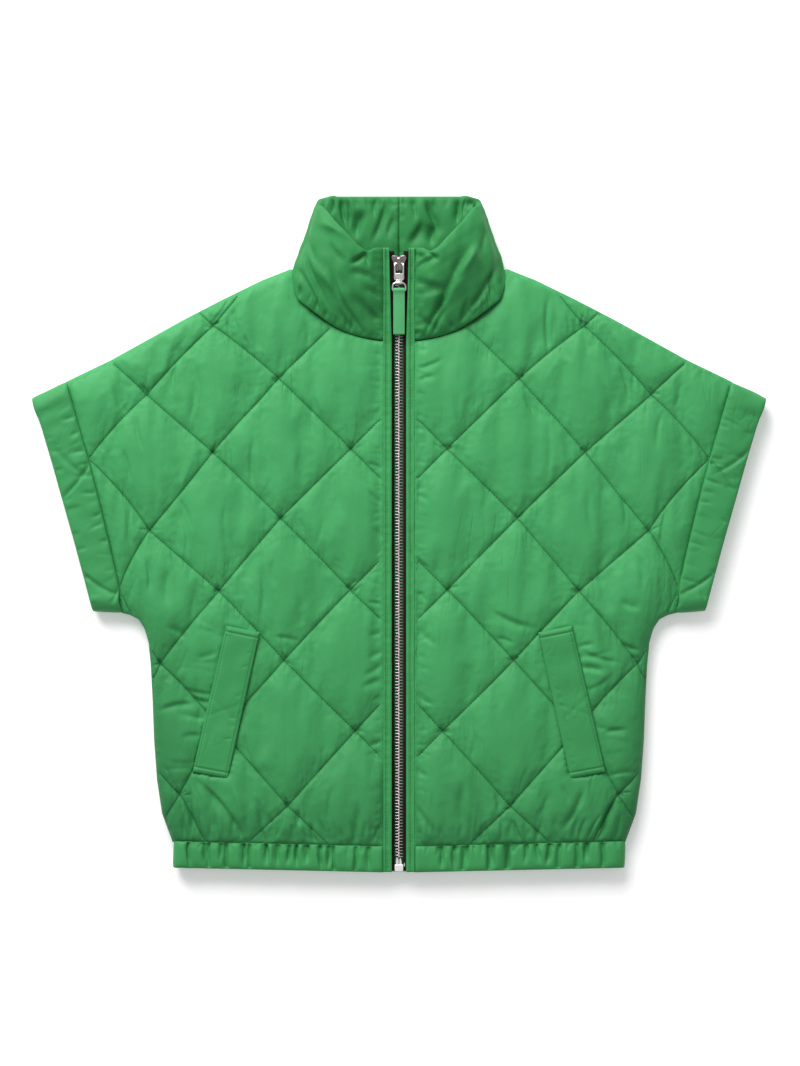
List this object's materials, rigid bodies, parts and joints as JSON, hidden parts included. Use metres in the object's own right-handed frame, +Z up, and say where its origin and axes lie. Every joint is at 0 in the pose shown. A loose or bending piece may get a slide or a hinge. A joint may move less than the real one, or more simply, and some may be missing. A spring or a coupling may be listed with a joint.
{
  "type": "quilted gilet laid flat",
  "caption": "Padded diamond-quilted gilet lying flat, front up, with cap sleeves, stand collar, full-length metal zip, welt pockets and gathered hem.",
  "frame": {"origin": "middle of the footprint, on the surface that the back panel rests on", "axes": "+X to the wearer's left (the right-hand side of the picture), +Y from hem to collar, +Z up out of the front"},
  "size_m": [0.7316, 0.676, 0.0413],
  "materials": {
    "shell_cloth": "smooth green woven nylon with a soft satin sheen",
    "pull_tab_cloth": "green folded tape, slightly brighter than the shell",
    "zip_tape": "very dark brown woven tape",
    "zip_metal": "tumbled silver metal with a faint rose cast"
  },
  "bodies": {
    "garment": {"back_panel": "shell_cloth", "front_left": "shell_cloth", "front_right": "shell_cloth", "sleeve_band_left": "shell_cloth", "sleeve_band_right": "shell_cloth", "collar_left": "shell_cloth", "collar_right": "shell_cloth", "hem_band": "shell_cloth", "zip_facing_left": "shell_cloth", "zip_facing_right": "shell_cloth", "pocket_welt_left": "shell_cloth", "pocket_welt_right": "shell_cloth", "zip_tape_left": "zip_tape", "zip_tape_right": "zip_tape", "zip_chain": "zip_metal", "zip_foot": "zip_metal", "zip_slider": "zip_metal"},
    "puller": {"zip_puller": "zip_metal"},
    "tab": {"pull_ring": "zip_metal", "pull_tab": "pull_tab_cloth"}
  },
  "joints": [
    {"name": "puller_hinge", "type": "hinge", "parent": "garment", "child": "puller", "pos_m": [0, 0.2695, 0.032], "axis": [-1, 0, 0], "range_deg": [0, 150]},
    {"name": "tab_hinge", "type": "hinge", "parent": "puller", "child": "tab", "pos_m": [0, 0.25073, 0.02904], "axis": [-1, 0, 0], "range_deg": [0, 60]}
  ]
}
